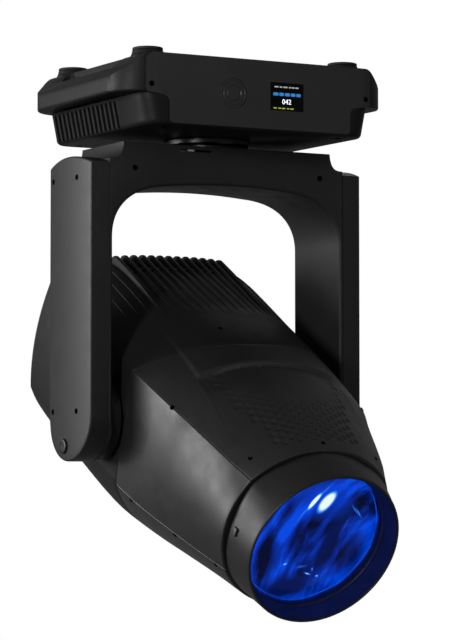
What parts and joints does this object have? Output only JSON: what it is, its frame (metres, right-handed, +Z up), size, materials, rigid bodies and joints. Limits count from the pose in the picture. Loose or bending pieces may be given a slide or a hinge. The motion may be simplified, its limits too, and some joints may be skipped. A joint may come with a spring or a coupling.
{
  "type": "moving head light",
  "caption": "Large moving head stage light hanging from its base: panning yoke, tilting finned head with a deep front lens, base with handles, display and rear sockets.",
  "frame": {"origin": "centre of the mounting plate's outer face, on the pan axis; the light hangs below it", "axes": "+Z up, out of the mounting plate along the pan axis; -Y towards the front panel with the display; +X to the right seen from the front, along the tilt axis"},
  "size_m": [0.4329, 0.6691, 0.7596],
  "materials": {
    "black_shell": "black injection-moulded plastic with a fine texture",
    "black_casting": "die-cast aluminium, black powder coat",
    "dark_metal": "black anodised aluminium",
    "steel": "bright brushed steel",
    "aluminium": "plain machined aluminium",
    "rubber": "matt black rubber",
    "screen": "glossy black display window",
    "inlet_plastic": "moulded inlet body",
    "fan_plastic": "moulded fan plastic",
    "circuit_board": "green solder mask",
    "front_glass": "coated front lens, lit blue from inside",
    "inner_glass": "clear coated lens",
    "dichroic_glass": "dichroic colour filters",
    "copper": "copper heat spreader of the light engine"
  },
  "bodies": {
    "base": {"base_casting": "black_casting", "mounting_plate": "dark_metal", "foot_pad_1": "rubber", "foot_pad_2": "rubber", "foot_pad_3": "rubber", "foot_pad_4": "rubber", "front_panel": "black_shell", "display_window": "screen", "badge_disc": "black_shell", "base_housing": "black_shell", "vent_panel_left": "black_shell", "vent_panel_right": "black_shell", "connector_plate": "black_shell", "power_inlet": "inlet_plastic", "data_socket_1": "steel", "data_socket_2": "steel", "network_socket_1": "steel", "network_socket_2": "steel", "pan_bearing_ring": "steel", "pan_spindle": "aluminium", "power_supply": "aluminium", "control_board": "circuit_board"},
    "yoke": {"yoke_frame": "black_shell", "arm_cover_left": "black_shell", "arm_cover_right": "black_shell", "crossbar_rear_cover": "black_shell", "pan_motor": "dark_metal", "pan_belt": "rubber", "tilt_motor": "dark_metal", "tilt_belt": "rubber"},
    "head": {"rear_housing": "black_casting", "rear_cap": "black_shell", "top_cover": "black_shell", "side_panel_right": "black_shell", "side_panel_left": "black_shell", "bottom_cover": "black_shell", "front_ring": "black_shell", "front_lens": "front_glass", "lens_barrel": "dark_metal", "tilt_hub_left": "dark_metal", "tilt_hub_right": "dark_metal", "tilt_pulley": "aluminium", "head_chassis": "aluminium", "light_engine": "copper", "heat_sink": "aluminium", "fan_frame_left": "fan_plastic", "fan_frame_right": "fan_plastic"},
    "pan_motor_pulley": {"pan_motor_pulley": "aluminium"},
    "tilt_motor_pulley": {"tilt_motor_pulley": "aluminium"},
    "pan_lock_lever": {"pan_lock_lever": "steel"},
    "tilt_lock_button": {"tilt_lock_button": "dark_metal"},
    "zoom_carriage": {"zoom_carriage": "dark_metal", "zoom_lens": "inner_glass"},
    "focus_carriage": {"focus_carriage": "dark_metal", "focus_lens": "inner_glass"},
    "colour_wheel": {"colour_wheel": "dichroic_glass"},
    "gobo_wheel": {"gobo_wheel": "dark_metal"},
    "fan_rotor_left": {"fan_rotor_left": "fan_plastic"},
    "fan_rotor_right": {"fan_rotor_right": "fan_plastic"}
  },
  "joints": [
    {"name": "pan", "type": "hinge", "parent": "base", "child": "yoke", "pos_m": [0, 0, -0.098], "axis": [0, 0, 1], "range_deg": [-270, 270]},
    {"name": "tilt", "type": "hinge", "parent": "yoke", "child": "head", "pos_m": [0, 0, -0.475], "axis": [1, 0, 0], "range_deg": [-74, 196]},
    {"name": "pan_motor_spin", "type": "hinge", "parent": "yoke", "child": "pan_motor_pulley", "pos_m": [0.102, 0, -0.1175], "axis": [0, 0, 1], "range_deg": [-1190, 1190]},
    {"name": "tilt_motor_spin", "type": "hinge", "parent": "yoke", "child": "tilt_motor_pulley", "pos_m": [-0.202, 0, -0.285], "axis": [1, 0, 0], "range_deg": [-350, 920]},
    {"name": "pan_lock_slide", "type": "slide", "parent": "yoke", "child": "pan_lock_lever", "axis": [1, 0, 0], "range_m": [0, 0.028]},
    {"name": "tilt_lock_press", "type": "slide", "parent": "yoke", "child": "tilt_lock_button", "axis": [1, 0, 0], "range_m": [0, 0.002], "stiffness_N_per_m": 1500, "springref_m": -0.001},
    {"name": "zoom_slide", "type": "slide", "parent": "head", "child": "zoom_carriage", "axis": [0, -0.8746, -0.4848], "range_m": [-0.035, 0.045]},
    {"name": "focus_slide", "type": "slide", "parent": "head", "child": "focus_carriage", "axis": [0, -0.8746, -0.4848], "range_m": [-0.012, 0.05]},
    {"name": "colour_wheel_spin", "type": "hinge", "parent": "head", "child": "colour_wheel", "pos_m": [0.052, 0.05423, -0.44494], "axis": [0, -0.8746, -0.4848], "continuous": true},
    {"name": "gobo_wheel_spin", "type": "hinge", "parent": "head", "child": "gobo_wheel", "pos_m": [0.052, 0.03498, -0.45561], "axis": [0, -0.8746, -0.4848], "continuous": true},
    {"name": "fan_left_spin", "type": "hinge", "parent": "head", "child": "fan_rotor_left", "pos_m": [-0.062, 0.20717, -0.37846], "axis": [0, -0.8746, -0.4848], "continuous": true},
    {"name": "fan_right_spin", "type": "hinge", "parent": "head", "child": "fan_rotor_right", "pos_m": [0.062, 0.20717, -0.37846], "axis": [0, -0.8746, -0.4848], "continuous": true}
  ],
  "couplings": [
    {"joint": "pan_motor_spin", "follows": "pan", "ratio": -4.4},
    {"joint": "tilt_motor_spin", "follows": "tilt", "ratio": 4.6667}
  ]
}
